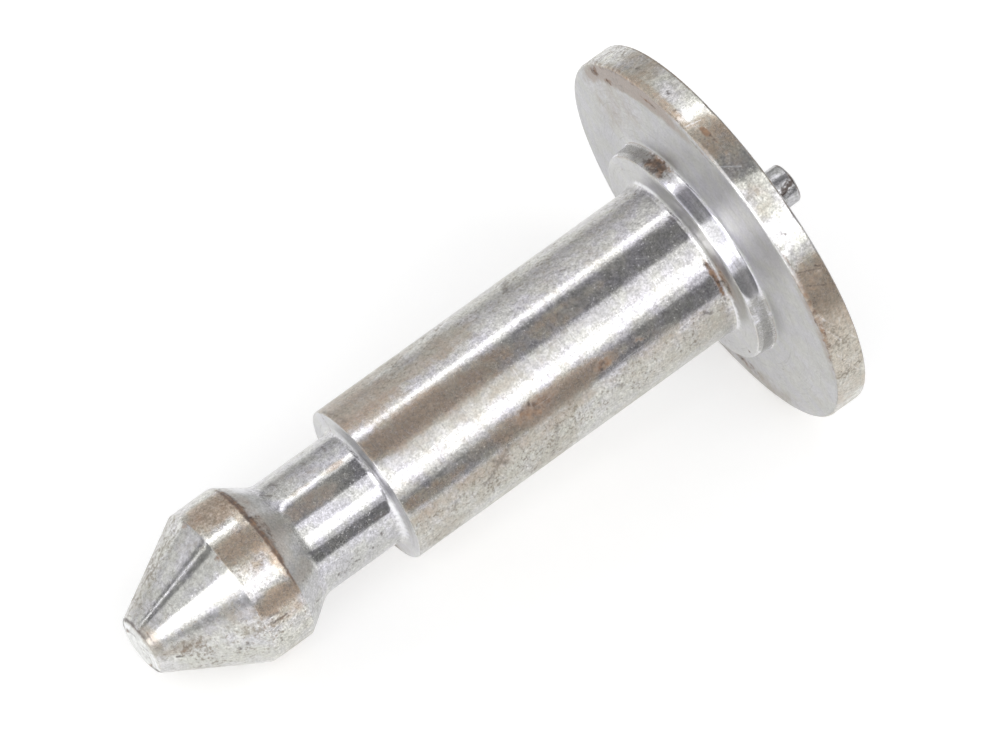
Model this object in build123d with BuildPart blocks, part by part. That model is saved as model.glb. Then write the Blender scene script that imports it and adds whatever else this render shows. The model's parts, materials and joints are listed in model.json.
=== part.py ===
# Seat latch pin: one turned steel piece, lying on its flange rim and its head.
# Millimetres. Stations along the pin are counted from the shoulder behind the
# catch neck: the nose is on the negative side, the flange on the positive side.
import os
from math import atan2, cos, degrees, sin

from build123d import *

# Diameters
shank_diameter = 16.0
land_diameter = 16.0  # the widest part of the head
neck_diameter = 11.75
nose_diameter = 5.8
nose_flat_diameter = 3.7
collar_diameter = 22.5
flange_diameter = 39.0
stub_diameter = 4.0
stub_flat_diameter = 1.8

# Lengths along the pin
nose_crown = 0.35  # how far the nose's face bulges
cone_length = 9.0
land_length = 4.3
flare_length = 3.1
neck_length = 8.8
shank_length = 36.2
collar_length = 1.9
flange_crown = 0.7  # how far the flange's front face falls back at its rim
rim_length = 3.2
stub_length = 6.35
stub_crown = 0.4  # how far the stub's end bulges

# Corners and edges
flare_blend = 2.0
shoulder_fillet = 0.7
shoulder_chamfer = 0.2
shank_fillet = 0.6
collar_chamfer = 0.4
collar_fillet = 0.4
rim_chamfer = 0.25
stub_fillet = 0.3
stub_rounding = 0.3

# Stations
neck_front = -neck_length
land_back = neck_front - flare_length
land_front = land_back - land_length
nose_edge = land_front - cone_length
nose_face = nose_edge - nose_crown
collar_front = shank_length
collar_back = collar_front + collar_length
rim_front = collar_back + flange_crown
rim_back = rim_front + rim_length
stub_edge = rim_back + stub_length
stub_face = stub_edge + stub_crown

# The corners of the half outline, as (station, radius)
nose_centre = (nose_face, 0)
nose_flat_corner = (nose_face, nose_flat_diameter / 2)
nose_corner = (nose_edge, nose_diameter / 2)
land_front_corner = (land_front, land_diameter / 2)
land_back_corner = (land_back, land_diameter / 2)
flare_foot = (neck_front, neck_diameter / 2)
neck_root = (0, neck_diameter / 2)
shoulder_corner = (0, shank_diameter / 2)
shank_root = (collar_front, shank_diameter / 2)
collar_corner = (collar_front, collar_diameter / 2)
collar_root = (collar_back, collar_diameter / 2)
rim_front_corner = (rim_front, flange_diameter / 2)
rim_back_corner = (rim_back, flange_diameter / 2)
stub_root = (rim_back, stub_diameter / 2)
stub_corner = (stub_edge, stub_diameter / 2)
stub_flat_corner = (stub_face, stub_flat_diameter / 2)
stub_centre = (stub_face, 0)


def corner(sketch, place):
    """The outline's vertex at this (station, radius)."""
    return sketch.vertices().sort_by_distance(place)[0]


# The pin as it comes off the lathe, along X
with BuildPart() as turned_pin:
    with BuildSketch() as half_outline:
        with BuildLine():
            Polyline(
                nose_centre,
                nose_flat_corner,
                nose_corner,
                land_front_corner,
                land_back_corner,
                flare_foot,
                neck_root,
                shoulder_corner,
                shank_root,
                collar_corner,
                collar_root,
                rim_front_corner,
                rim_back_corner,
                stub_root,
                stub_corner,
                stub_flat_corner,
                stub_centre,
                close=True,
            )
        make_face()
        fillet(corner(half_outline, flare_foot), flare_blend)
        fillet(corner(half_outline, neck_root), shoulder_fillet)
        fillet(corner(half_outline, shank_root), shank_fillet)
        fillet(corner(half_outline, collar_root), collar_fillet)
        fillet(corner(half_outline, stub_root), stub_fillet)
        fillet(corner(half_outline, stub_corner), stub_rounding)
        chamfer(corner(half_outline, shoulder_corner), shoulder_chamfer)
        chamfer(corner(half_outline, collar_corner), collar_chamfer)
        chamfer(corner(half_outline, rim_front_corner), rim_chamfer)
        chamfer(corner(half_outline, rim_back_corner), rim_chamfer)
    revolve(axis=Axis.X)

# Lying on a table, the pin touches it at two edges: the front of the flange's rim
# and the front of the head's land. The line through them gives the tilt.
rim_touch = (rim_front + rim_chamfer, flange_diameter / 2)
head_touch = land_front_corner
tilt = atan2(rim_touch[1] - head_touch[1], rim_touch[0] - head_touch[0])
axis_height = rim_touch[1] * cos(tilt) - rim_touch[0] * sin(tilt)

with BuildPart() as lying_pin:
    with Locations(Location((0, 0, axis_height), (0, -degrees(tilt), 0))):
        add(turned_pin.part)

# The middle of the pin's footprint is the origin
footprint = lying_pin.part.bounding_box().center()
with BuildPart() as seat_pin:
    with Locations((-footprint.X, -footprint.Y, 0)):
        add(lying_pin.part)

os.makedirs("parts", exist_ok=True)
seat_pin.part.label = "seat_pin"
export_step(seat_pin.part, "parts/seat_pin.step")
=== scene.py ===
import json
import math

import bmesh
import bpy
import numpy as np
from mathutils import Matrix, Vector


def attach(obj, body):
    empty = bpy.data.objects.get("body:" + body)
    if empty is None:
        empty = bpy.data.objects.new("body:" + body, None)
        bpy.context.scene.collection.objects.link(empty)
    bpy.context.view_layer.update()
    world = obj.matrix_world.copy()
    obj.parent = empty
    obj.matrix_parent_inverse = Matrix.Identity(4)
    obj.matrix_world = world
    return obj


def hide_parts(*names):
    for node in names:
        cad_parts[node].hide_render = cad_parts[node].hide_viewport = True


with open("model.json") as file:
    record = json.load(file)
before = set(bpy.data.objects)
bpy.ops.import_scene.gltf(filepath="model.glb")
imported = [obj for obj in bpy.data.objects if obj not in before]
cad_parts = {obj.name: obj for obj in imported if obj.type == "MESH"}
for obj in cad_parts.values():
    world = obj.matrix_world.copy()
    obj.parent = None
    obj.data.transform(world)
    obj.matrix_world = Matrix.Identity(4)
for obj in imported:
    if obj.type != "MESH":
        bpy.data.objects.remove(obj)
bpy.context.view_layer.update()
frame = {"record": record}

scene = bpy.context.scene
scene.view_settings.view_transform = "Standard"

mm = 0.001

# Where the pin lies. The shank mount gives its axis and the middle of the shank's wall
shankMount = [m for m in frame["record"]["mounts"] if m["name"] == "shank"][0]
towardsNose = Vector(shankMount["axis"]).normalized()
pinAxis = -towardsNose  # from the nose to the flange
pinTilt = math.atan2(pinAxis.z, pinAxis.x)
pinUp = Vector((-math.sin(pinTilt), 0, math.cos(pinTilt)))
pinFront = Vector((0, -1, 0))  # the side that faces the camera
mountStation = 17.9  # mm from the shoulder to the mount
shoulderPlace = Vector(shankMount["pos_m"]) - pinAxis * mountStation * mm


def deselectAll():
    if bpy.context.object and bpy.context.object.mode != "OBJECT":
        bpy.ops.object.mode_set(mode="OBJECT")
    bpy.ops.object.select_all(action="DESELECT")


# Camera
cameraLook = {
    "aim": (0.003557, -0.000165, 0.017544),
    "azimuth": -126.095,
    "elevation": 48.742,
    "distance": 0.9,
    "lens": 360,
}


def addCamera(look):
    a, e = math.radians(look["azimuth"]), math.radians(look["elevation"])
    towards = Vector((math.cos(e) * math.cos(a), math.cos(e) * math.sin(a), math.sin(e)))
    bpy.ops.object.camera_add(
        location=Vector(look["aim"]) + look["distance"] * towards,
        rotation=(math.radians(90 - look["elevation"]), 0, math.radians(look["azimuth"] + 90)),
    )
    camera = bpy.context.object
    camera.name = "camera"
    camera.data.sensor_fit = "HORIZONTAL"
    camera.data.lens = look["lens"]
    camera.data.clip_start = 0.05
    camera.data.clip_end = 10
    scene.camera = camera


addCamera(cameraLook)
print("camera placed")


# The pin's body, in millimetres. Stations count from the shoulder, towards the flange
bodyShape = {
    "nose": -25.55,
    "noseEdge": -25.2,
    "landFront": -16.2,
    "landBack": -11.9,
    "neckFront": -8.8,
    "collarFront": 36.2,
    "collarBack": 38.1,
    "rimFront": 38.8,
    "rimBack": 42.0,
    "stubEdge": 48.35,
    "stubEnd": 48.75,
    "noseFlatRadius": 1.85,
    "noseRadius": 2.9,
    "landRadius": 8.0,
    "neckRadius": 5.875,
    "shankRadius": 8.0,
    "collarRadius": 11.25,
    "collarDraft": 0.08,  # the collar's wall is a touch tapered
    "flangeRadius": 19.5,
    "stubRadius": 2.0,
    "stubFlatRadius": 0.9,
    "turns": 320,  # faces around
    "smoothBelow": 30,  # degrees between faces
    "normalWeight": 80,
    "mapLength": 50,  # mm of wall to one unit of the map
}


def bodyOutline(s):
    # station, radius, this corner's rounding and its segments, then the wall after it: the gap
    # between its rings, and its finish
    return [
        (s["nose"], 0, 0, 0, 0.5, "noseSteel"),
        (s["nose"], s["noseFlatRadius"], 0.3, 2, 0.2, "noseSteel"),
        (s["noseEdge"], s["noseRadius"], 0.16, 3, 0.4, "coneSteel"),
        (s["landFront"], s["landRadius"], 0.12, 3, 0.32, "landSteel"),
        (s["landBack"], s["landRadius"], 0.16, 3, 0.32, "neckSteel"),
        (s["neckFront"], s["neckRadius"], 0.62, 6, 0.4, "neckSteel"),
        (0, s["neckRadius"], 0.7, 8, 0.4, "shoulderSteel"),
        (0, s["shankRadius"], 0.2, 2, 0.45, "shankSteel"),
        (s["collarFront"], s["shankRadius"], 0.6, 8, 0.4, "collarFaceSteel"),
        (s["collarFront"], s["collarRadius"] - s["collarDraft"], 0.36, 2, 0.3, "collarSteel"),
        (s["collarBack"], s["collarRadius"], 0.4, 6, 0.42, "flangeSteel"),
        (s["rimFront"], s["flangeRadius"], 0.3, 3, 0.3, "rimSteel"),
        (s["rimBack"], s["flangeRadius"], 0.28, 3, 1.1, "flangeSteel"),
        (s["rimBack"], s["stubRadius"], 0.3, 4, 0.5, "stubSteel"),
        (s["stubEdge"], s["stubRadius"], 0.25, 4, 0.4, "stubSteel"),
        (s["stubEnd"], s["stubFlatRadius"], 0.2, 2, 0.5, "stubSteel"),
        (s["stubEnd"], 0, 0, 0, 0, ""),
    ]


def pickVertex(piece, station, radius, around=0):
    # the point nearest to a station and a radius. Gives its way outwards
    a = math.radians(around)
    outwards = Vector((0, -math.sin(a), math.cos(a)))
    spot = (Vector((station, 0, 0)) + outwards * radius) * mm
    bpy.ops.mesh.select_all(action="DESELECT")
    mesh = bmesh.from_edit_mesh(piece.data)
    min(mesh.verts, key=lambda v: (v.co - spot).length).select_set(True)
    bmesh.update_edit_mesh(piece.data)
    return outwards


def pickEdge(piece, here, there):
    # the outline's long edge between two corners
    bpy.ops.mesh.select_all(action="DESELECT")
    mesh = bmesh.from_edit_mesh(piece.data)
    middle = Vector((here[0] + there[0], 0, here[1] + there[1])) * mm / 2
    centre = {e: (e.verts[0].co + e.verts[1].co) / 2 for e in mesh.edges}
    edge = min(mesh.edges, key=lambda e: (centre[e] - middle).length - e.calc_length() / 4)
    edge.select_set(True)
    mesh.select_flush_mode()
    bmesh.update_edit_mesh(piece.data)
    return edge.calc_length()


def numberRings(piece):
    # counts the outline's points from the nose on. Each ring keeps its number when it is spun
    mesh = bmesh.from_edit_mesh(piece.data)
    ring = mesh.verts.layers.int.new("ring")
    ends = [v for v in mesh.verts if len(v.link_edges) == 1]
    here, before, places = min(ends, key=lambda v: v.co.x), None, []
    while here:
        here[ring] = len(places)
        places.append((here.co.x / mm, here.co.z / mm))
        onwards = [e.other_vert(here) for e in here.link_edges if e.other_vert(here) != before]
        here, before = (onwards[0] if onwards else None), here
    bmesh.update_edit_mesh(piece.data)
    return places


def buildBody(shape):
    outline = bodyOutline(shape)
    deselectAll()
    bpy.ops.mesh.primitive_plane_add(size=0.001, location=(shape["nose"] * mm, 0, 0))
    body = bpy.context.object
    body.name = body.data.name = "pinBody"
    bpy.ops.object.transform_apply(location=True, rotation=False, scale=False)
    bpy.ops.object.mode_set(mode="EDIT")
    bpy.ops.mesh.select_all(action="SELECT")
    bpy.ops.mesh.merge(type="CENTER")
    for here, there in zip(outline, outline[1:]):
        step = ((there[0] - here[0]) * mm, 0, (there[1] - here[1]) * mm)
        bpy.ops.mesh.extrude_region_move(TRANSFORM_OT_translate={"value": step})
    for station, radius, rounding, segments, *wall in outline:
        if rounding:
            pickVertex(body, station, radius)
            bpy.ops.mesh.bevel(offset=rounding * mm, segments=segments, affect="VERTICES")
    for here, there in zip(outline, outline[1:]):
        length = pickEdge(body, here, there)
        cuts = round(length / (here[4] * mm)) - 1
        if cuts > 0:
            bpy.ops.mesh.subdivide(number_cuts=cuts)
    rings = numberRings(body)
    bpy.ops.mesh.select_all(action="SELECT")
    bpy.ops.mesh.spin(steps=shape["turns"], angle=math.tau, center=(0, 0, 0), axis=(1, 0, 0))
    bpy.ops.mesh.select_all(action="SELECT")
    bpy.ops.mesh.remove_doubles(threshold=1e-6)
    bpy.ops.mesh.normals_make_consistent(inside=False)
    bpy.ops.object.mode_set(mode="OBJECT")
    return body, rings


body, rings = buildBody(bodyShape)
print("body spun:", len(body.data.vertices), "points,", len(body.data.polygons), "faces")


def ringFinishes(rings, outline):
    # the finish of the wall that starts at each ring
    finishes = []
    for (s1, r1), (s2, r2) in zip(rings, rings[1:]):
        point = Vector(((s1 + s2) / 2, (r1 + r2) / 2))
        best = (1e9, "")
        for here, there in zip(outline, outline[1:]):
            start, run = Vector(here[:2]), Vector(there[:2]) - Vector(here[:2])
            t = min(max((point - start).dot(run) / run.length_squared, 0), 1)
            best = min(best, ((point - start - run * t).length, here[5]))
        finishes.append(best[1])
    return finishes


def readAll(items, key, kind=np.int32, width=1):
    values = np.empty(len(items) * width, dtype=kind)
    items.foreach_get(key, values)
    return values


def readPoints(mesh):
    # every point's station, radius and degrees around, with the pin still standing along X
    x, y, z = readAll(mesh.vertices, "co", float, 3).reshape(-1, 3).T / mm
    return x, np.hypot(y, z), np.degrees(np.arctan2(-y, z))


def readRings(mesh):
    return readAll(mesh.attributes["ring"].data, "value")


# Dents and nicks: station, radius, degrees around, reach, depth towards the axis
bodyDents = {
    "rim": [
        (39, 19.4, -38, 1, 0.1), (39, 19.4, -24, 0.8, 0.08), (39, 19.4, 12, 0.8, 0.08),
        (39, 19.4, 29, 1.1, 0.1), (39, 19.4, 47, 0.7, 0.06), (39, 19.4, 71, 1, 0.09),
        (39, 19.4, 88, 0.8, 0.07), (40.2, 19.5, -23, 0.7, 0.08), (40.2, 19.5, -8, 0.6, 0.07),
        (41.2, 19.5, 56, 0.7, 0.08), (40.2, 19.5, 17, 1, 0.05), (41.9, 19.4, 40, 0.9, 0.07),
        (41.9, 19.4, 4, 0.8, 0.06),
    ],
    "collar": [(36.5, 11.1, -21, 0.8, 0.1), (36.5, 11.1, -5, 0.5, 0.05)],
    "shank": [
        (31.5, 8, 18, 0.6, 0.035), (0.1, 7.95, 34, 0.5, 0.05), (0.1, 7.95, -20, 0.4, 0.04),
        (0.1, 7.95, 71, 0.5, 0.05),
    ],
    "head": [
        (-12, 7.95, 6, 0.6, 0.06), (-12, 7.95, 41, 0.7, 0.06), (-16.1, 7.95, 17, 0.6, 0.05),
        (-25.1, 2.8, 20, 0.5, 0.08), (-25.1, 2.8, 60, 0.5, 0.07), (-25.1, 2.8, -25, 0.4, 0.06),
        (-25.1, 2.8, 150, 0.5, 0.06),
    ],
}


def pressDents(piece, dents):
    bpy.ops.object.mode_set(mode="EDIT")
    bpy.ops.mesh.select_mode(type="VERT")
    for station, radius, around, reach, depth in dents:
        outwards = pickVertex(piece, station, radius, around)
        bpy.ops.transform.translate(
            value=-outwards * depth * mm,
            use_proportional_edit=True,
            proportional_edit_falloff="SMOOTH",
            proportional_size=reach * mm,
        )
    bpy.ops.object.mode_set(mode="OBJECT")


# Finishes, one for each wall. Patches of wear: where (a station, or a radius on a face), degrees
# around, half length, half width around, strength; on the collar some of them are painted shade.
# Strokes: where, around, where, around, width, strength. Arcs run round the pin: station, radius,
# from, to, width, strength. Beside real spots, rust lines and scratches, many dark strokes and
# arcs are painted shade and dark reflections, and many light ones are painted highlights
plainSteel = {
    "acrossFace": False,  # a face's wear is placed by radius
    "roughness": 0.17,
    "turned": 0.3,  # how far highlights spread across the turning marks
    "broad": (0.28, 4, 0.6), "toneSpread": 0.2,
    "mottle": 0.2,
    "grainTone": 1.1,  # the grain's share in it
    "tint": 0.8,  # how far the bare steel drifts from lilac to olive
    "drift": (0.5, 3, 0.55, 0.38, 0.62),
    "lilac": (0, -0.012, 0.035), "olive": (0.01, 0.012, -0.06),
    "speckle": 0.4,  # grain over the finished colour
    "blotches": 0.13,  # the mottle's share in it
    "markSpacing": 0.22, "ringRange": (0.54, 0.74), "ringTone": (0.34, 0.33, 0.32),
    "scratches": 0.3, "scratchTone": (0.75, 0.75, 0.76),
    "pitSize": 0.3, "pitCover": 0.1, "pitTone": (0.35, 0.33, 0.3),
    # the dull tone is a little paler than the steel: over a real matte finish, a painted lift of
    # light where the steel mirrors the floor in the pin's shadow
    "film": 0.05, "filmAndShadeTone": (0.45, 0.4, 0.35), "dullTone": (0.62, 0.62, 0.565),
    # tones of the dark and light strokes and arcs, which are partly real marks and partly painted
    # shade, dark reflections and highlights
    "darkTone": (0.09, 0.07, 0.062), "lightTone": (0.9, 0.9, 0.92),
    "dullStain": 0.6, "ringStain": 0.45, "pitStain": 0.8, "scratchStain": 0.3,
    "filmRoughness": 0.12, "broadRoughness": 0.08, "pitRoughness": 0.25,
    "dullRoughness": 0.26, "rustRoughness": 0.35,
    "filmMetallic": -0.35, "pitMetallic": -0.35, "darkMetallic": -0.6, "rustMetallic": -0.8,
    "markHeight": 0.002, "grainHeight": 0.002, "scratchHeight": -0.002, "pitHeight": -0.002,
    "nickHeight": -0.0008, "rustHeight": 0.004,
}
noseSteel = {
    **plainSteel,
    "acrossFace": True, "steel": (0.74, 0.745, 0.73), "tint": 0.1, "mottle": 0.5, "roughness": 0.3,
    "turned": 0.2, "markSpacing": 0.3, "grainHeight": 0.05, "nickHeight": -0.0024, "pitSize": 0.5,
    "pitHeight": -0.01,
    "rust": [
        (2.92, 0, 0.12, 12, 0.62), (1.9, -45, 0.3, 0.6, 0.7), (1.9, 128, 0.3, 0.9, 0.7),
        (2.2, 70, 0.35, 0.3, 0.5),
    ],
    "patinaAndShade": [(2.9, 30, 0.5, 3.5, 0.5)],
    "pits": [(1.5, 60, 1, 1.2, 0.8)],
    "darkStrokes": [(1.8, 30, 2.3, 50, 0.1, 0.4)],
    # painted shade: dark outlines on the nose's rounded edge, and a darker line between the flat
    # and its bevel
    "darkArcs": [
        (-25.2, 2.9, -64, 24, 0.3, 0.8), (-25.35, 2.6, -108, -62, 0.8, 0.9),
        (-25.35, 2.6, 118, 165, 0.9, 0.95), (-25.5, 1.95, -62, 4, 0.2, 0.4),
        (-25.5, 1.95, 60, 112, 0.2, 0.3),
    ],
    # painted highlights on the bevel's facets
    "lightArcs": [(-25.4, 2.4, -58, -22, 0.3, 0.9), (-25.35, 2.5, 58, 112, 0.22, 0.7)],
}
coneSteel = {
    **plainSteel,
    "steel": (0.6, 0.598, 0.605), "mottle": 0.75, "speckle": 0.6, "roughness": 0.13,
    "markSpacing": 0.3, "nickHeight": -0.004, "pitSize": 0.44, "pitCover": 0.2,
    "pitTone": (0.27, 0.235, 0.19), "film": 0.3, "filmAndShadeTone": (0.5, 0.44, 0.39),
    "rust": [
        (-24.6, 48, 0.5, 0.5, 0.55), (-24.8, 20, 0.3, 1, 0.5), (-16.5, -24, 0.4, 0.9, 0.6),
        (-16.45, 16, 0.3, 0.6, 0.7), (-16.4, 66, 0.35, 2, 0.55), (-22.5, 68, 1.8, 0.8, 0.5),
        (-20.5, 150, 1.2, 0.9, 0.65), (-18, -120, 0.9, 1.2, 0.6),
    ],
    "patinaAndShade": [
        (-24.9, 30, 0.9, 1.8, 0.7), (-23, 64, 2.2, 0.6, 0.5), (-17.5, 60, 1.4, 2.5, 0.4),
        (-20, -45, 5, 2, 0.25), (-20, 180, 4, 5, 0.5),
    ],
    "pits": [
        (-22.7, 68, 2.4, 1.1, 1.2), (-19, 74, 3.6, 1.4, 0.9), (-20, -48, 5, 3, 1),
        (-22, 42, 2, 0.35, 0.8), (-20, 180, 5, 8, 0.8), (-20.5, 92, 4, 2.5, 0.6),
    ],
    "dull": [(-20.5, 103, 5.5, 3.2, 0.8), (-20, -56, 5.5, 3.2, 0.75), (-20, 180, 5, 9, 0.6)],
    "darkStrokes": [
        (-24.6, 58, -16.6, 56, 1.3, 0.25), (-23.7, 77, -23.2, 78, 0.25, 0.8),
        (-24.6, 50, -24.3, 58, 0.2, 0.5), (-24.8, 22, -24.6, 40, 0.14, 0.4),
        (-18.2, 82, -18, 84, 0.25, 0.7), (-18.9, 86, -18.7, 88, 0.22, 0.7),
    ],
    # painted highlight: the light streak along the cone
    "lightStrokes": [(-24.9, 1, -22.4, 1.5, 0.35, 0.45)],
    # painted shade: the dark outline of the nose's rounded edge
    "darkArcs": [(-25.15, 2.92, -60, 26, 0.26, 0.8), (-25.15, 2.92, 116, 170, 0.3, 0.7)],
}
landSteel = {
    **plainSteel,
    "steel": (0.6, 0.59, 0.59), "mottle": 1.2, "speckle": 1.4, "nickHeight": -0.004,
    "pitSize": 0.36, "pitCover": 0.16, "pitTone": (0.25, 0.2, 0.155), "film": 0.35,
    "filmAndShadeTone": (0.52, 0.41, 0.32),
    "rust": [
        (-15.2, -19, 0.7, 0.8, 0.6), (-12.9, -14, 0.6, 1.8, 0.55), (-11.98, 12, 0.22, 7.5, 0.95),
        (-14.6, 73.5, 0.9, 0.2, 0.8), (-13.4, 33, 1.1, 0.9, 0.45), (-14, 130, 1.6, 1.4, 0.65),
        (-12.3, -150, 0.5, 5, 0.7), (-15, -95, 1, 1.6, 0.6),
    ],
    "patinaAndShade": [
        (-14, 17, 2.6, 1.5, 0.95), (-14.4, 31, 1.6, 0.7, 0.3), (-14, 60, 2.6, 1.2, 1.1),
        (-14, -18, 2.6, 2, 1.15), (-14, 73, 2.6, 0.8, 0.5), (-12.3, 20, 0.6, 6, 0.7),
        (-14, 180, 3, 10, 0.6),
    ],
    "pits": [
        (-14, 84, 2.8, 2.2, 0.9), (-14, 31, 2, 0.9, 0.8), (-14, -16, 2.5, 2, 1.5),
        (-14, 180, 3, 9, 0.8),
    ],
    "dull": [(-14, 101, 2.8, 3, 0.9), (-14, -50, 2.5, 2.6, 0.6), (-14, 180, 3, 9, 0.6)],
    "darkStrokes": [(-15.4, 73.2, -13.9, 73.6, 0.14, 0.7), (-15.6, 67, -14.6, 68.5, 0.2, 0.5)],
    "darkArcs": [(-11.95, 8, -34, 24, 0.36, 0.6), (-11.95, 8, 20, 60, 0.24, 0.6)],
}
neckSteel = {
    **plainSteel,
    "steel": (0.583, 0.58, 0.6), "mottle": 0.8, "speckle": 1.1, "turned": 0.8,
    "nickHeight": -0.0104, "pitCover": 0.08, "pitTone": (0.24, 0.22, 0.2), "film": 0.2,
    "filmAndShadeTone": (0.46, 0.39, 0.34), "dullTone": (0.535, 0.535, 0.515),
    "rust": [
        (-11.75, 8, 0.3, 6.2, 0.95), (-11.2, 12, 0.5, 2.4, 0.65), (-10.8, -10, 0.5, 0.25, 0.6),
        (-11.4, 160, 0.5, 2.5, 0.75), (-6, 150, 1, 0.8, 0.7), (-3, -120, 0.8, 1, 0.7),
    ],
    "patinaAndShade": [
        (-6.2, 17, 3.2, 0.9, 0.75), (-6.4, 1, 1.4, 0.3, 0.45), (-2.4, 2, 1.2, 0.4, 0.8),
        (-6, -18, 3, 1.6, 0.35), (-11.3, 8, 0.9, 6, 0.8), (-10.7, 17, 1.6, 2, 0.6),
        (-10.6, 57, 1.4, 1.2, 0.6), (-4, 180, 5, 6, 0.5),
    ],
    "pits": [
        (-4.5, -18, 4.5, 1.7, 0.9), (-4.5, 17, 4.5, 0.9, 0.9), (-4.5, 59, 4.5, 0.8, 0.7),
        (-5, 84, 4.5, 1.8, 0.75), (-10.5, 75, 2, 2.5, 0.8), (-10.5, -30, 2, 2, 0.5),
        (-6, 180, 7, 7, 0.8), (-4.5, -34, 4.5, 2, 0.8), (-10.5, 88, 1.4, 1.4, 0.9),
    ],
    "dull": [(-10.8, 0, 1.4, 60, 0.8), (-5, 98, 5, 2.4, 0.8), (-5, -40, 5, 2.2, 0.6)],
    "darkStrokes": [
        (-5.3, 91, -5.1, 93, 0.2, 0.7), (-3.5, 89, -3.4, 91, 0.18, 0.7),
        (-7.5, 92, -7.3, 94, 0.2, 0.7), (-2.3, 80, -2.2, 82, 0.18, 0.7),
        (-9.2, -18, -8.6, -12, 0.25, 0.5), (-7.6, -26, -7.2, -20, 0.3, 0.5),
        (-4.4, -24, -4.1, -20, 0.25, 0.5), (-2, -27, -1.8, -20, 0.25, 0.5),
        (-5.6, 61, -5.2, 63, 0.22, 0.5), (-2.4, 63, -1.2, 64.5, 0.25, 0.6),
        (-10.8, 88, -10.5, 90, 0.2, 0.6),
    ],
    # the last light stroke is a painted highlight: the bright strip carried on over the flare
    "lightStrokes": [
        (-1.4, 61, -1.3, 62.5, 0.16, 0.9), (-8, 57, -7.9, 58, 0.15, 0.8),
        (-4.3, 57, -4.2, 57.6, 0.12, 0.8), (-11.4, 2, -9.4, 1, 0.6, 0.3),
    ],
    # the second dark arc is painted shade on the flare
    "darkArcs": [(-11.7, 7.8, -30, 40, 0.3, 0.45), (-10.3, 6.9, 12, 24, 1.5, 0.2)],
    # painted light: a highlight on the rounding at the shoulder, and a paler left side of the
    # flare
    "lightArcs": [(-0.3, 6.12, 56, 108, 0.6, 0.85), (-10.4, 6.9, -70, -24, 1.8, 0.6)],
}
shoulderSteel = {
    **plainSteel,
    "steel": (0.6, 0.6, 0.61), "tint": 0.4, "roughness": 0.3, "turned": 0.4,
    "rust": [(-0.1, -40, 0.5, 0.5, 0.5), (0, 170, 0.6, 2, 0.6)],
    "patinaAndShade": [(0, 180, 1, 6, 0.5)],
    "pits": [(0, 100, 1, 3, 0.4)],
    # painted shade: a darker inner part of the shoulder face
    "darkArcs": [(0, 7.1, 40, 112, 0.3, 0.18)],
    # painted highlights on the rounding at the neck's root and along the outer edge
    "lightArcs": [(-0.3, 6.12, 56, 108, 0.6, 0.85), (-0.04, 7.93, 20, 118, 0.16, 0.7)],
}
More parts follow.
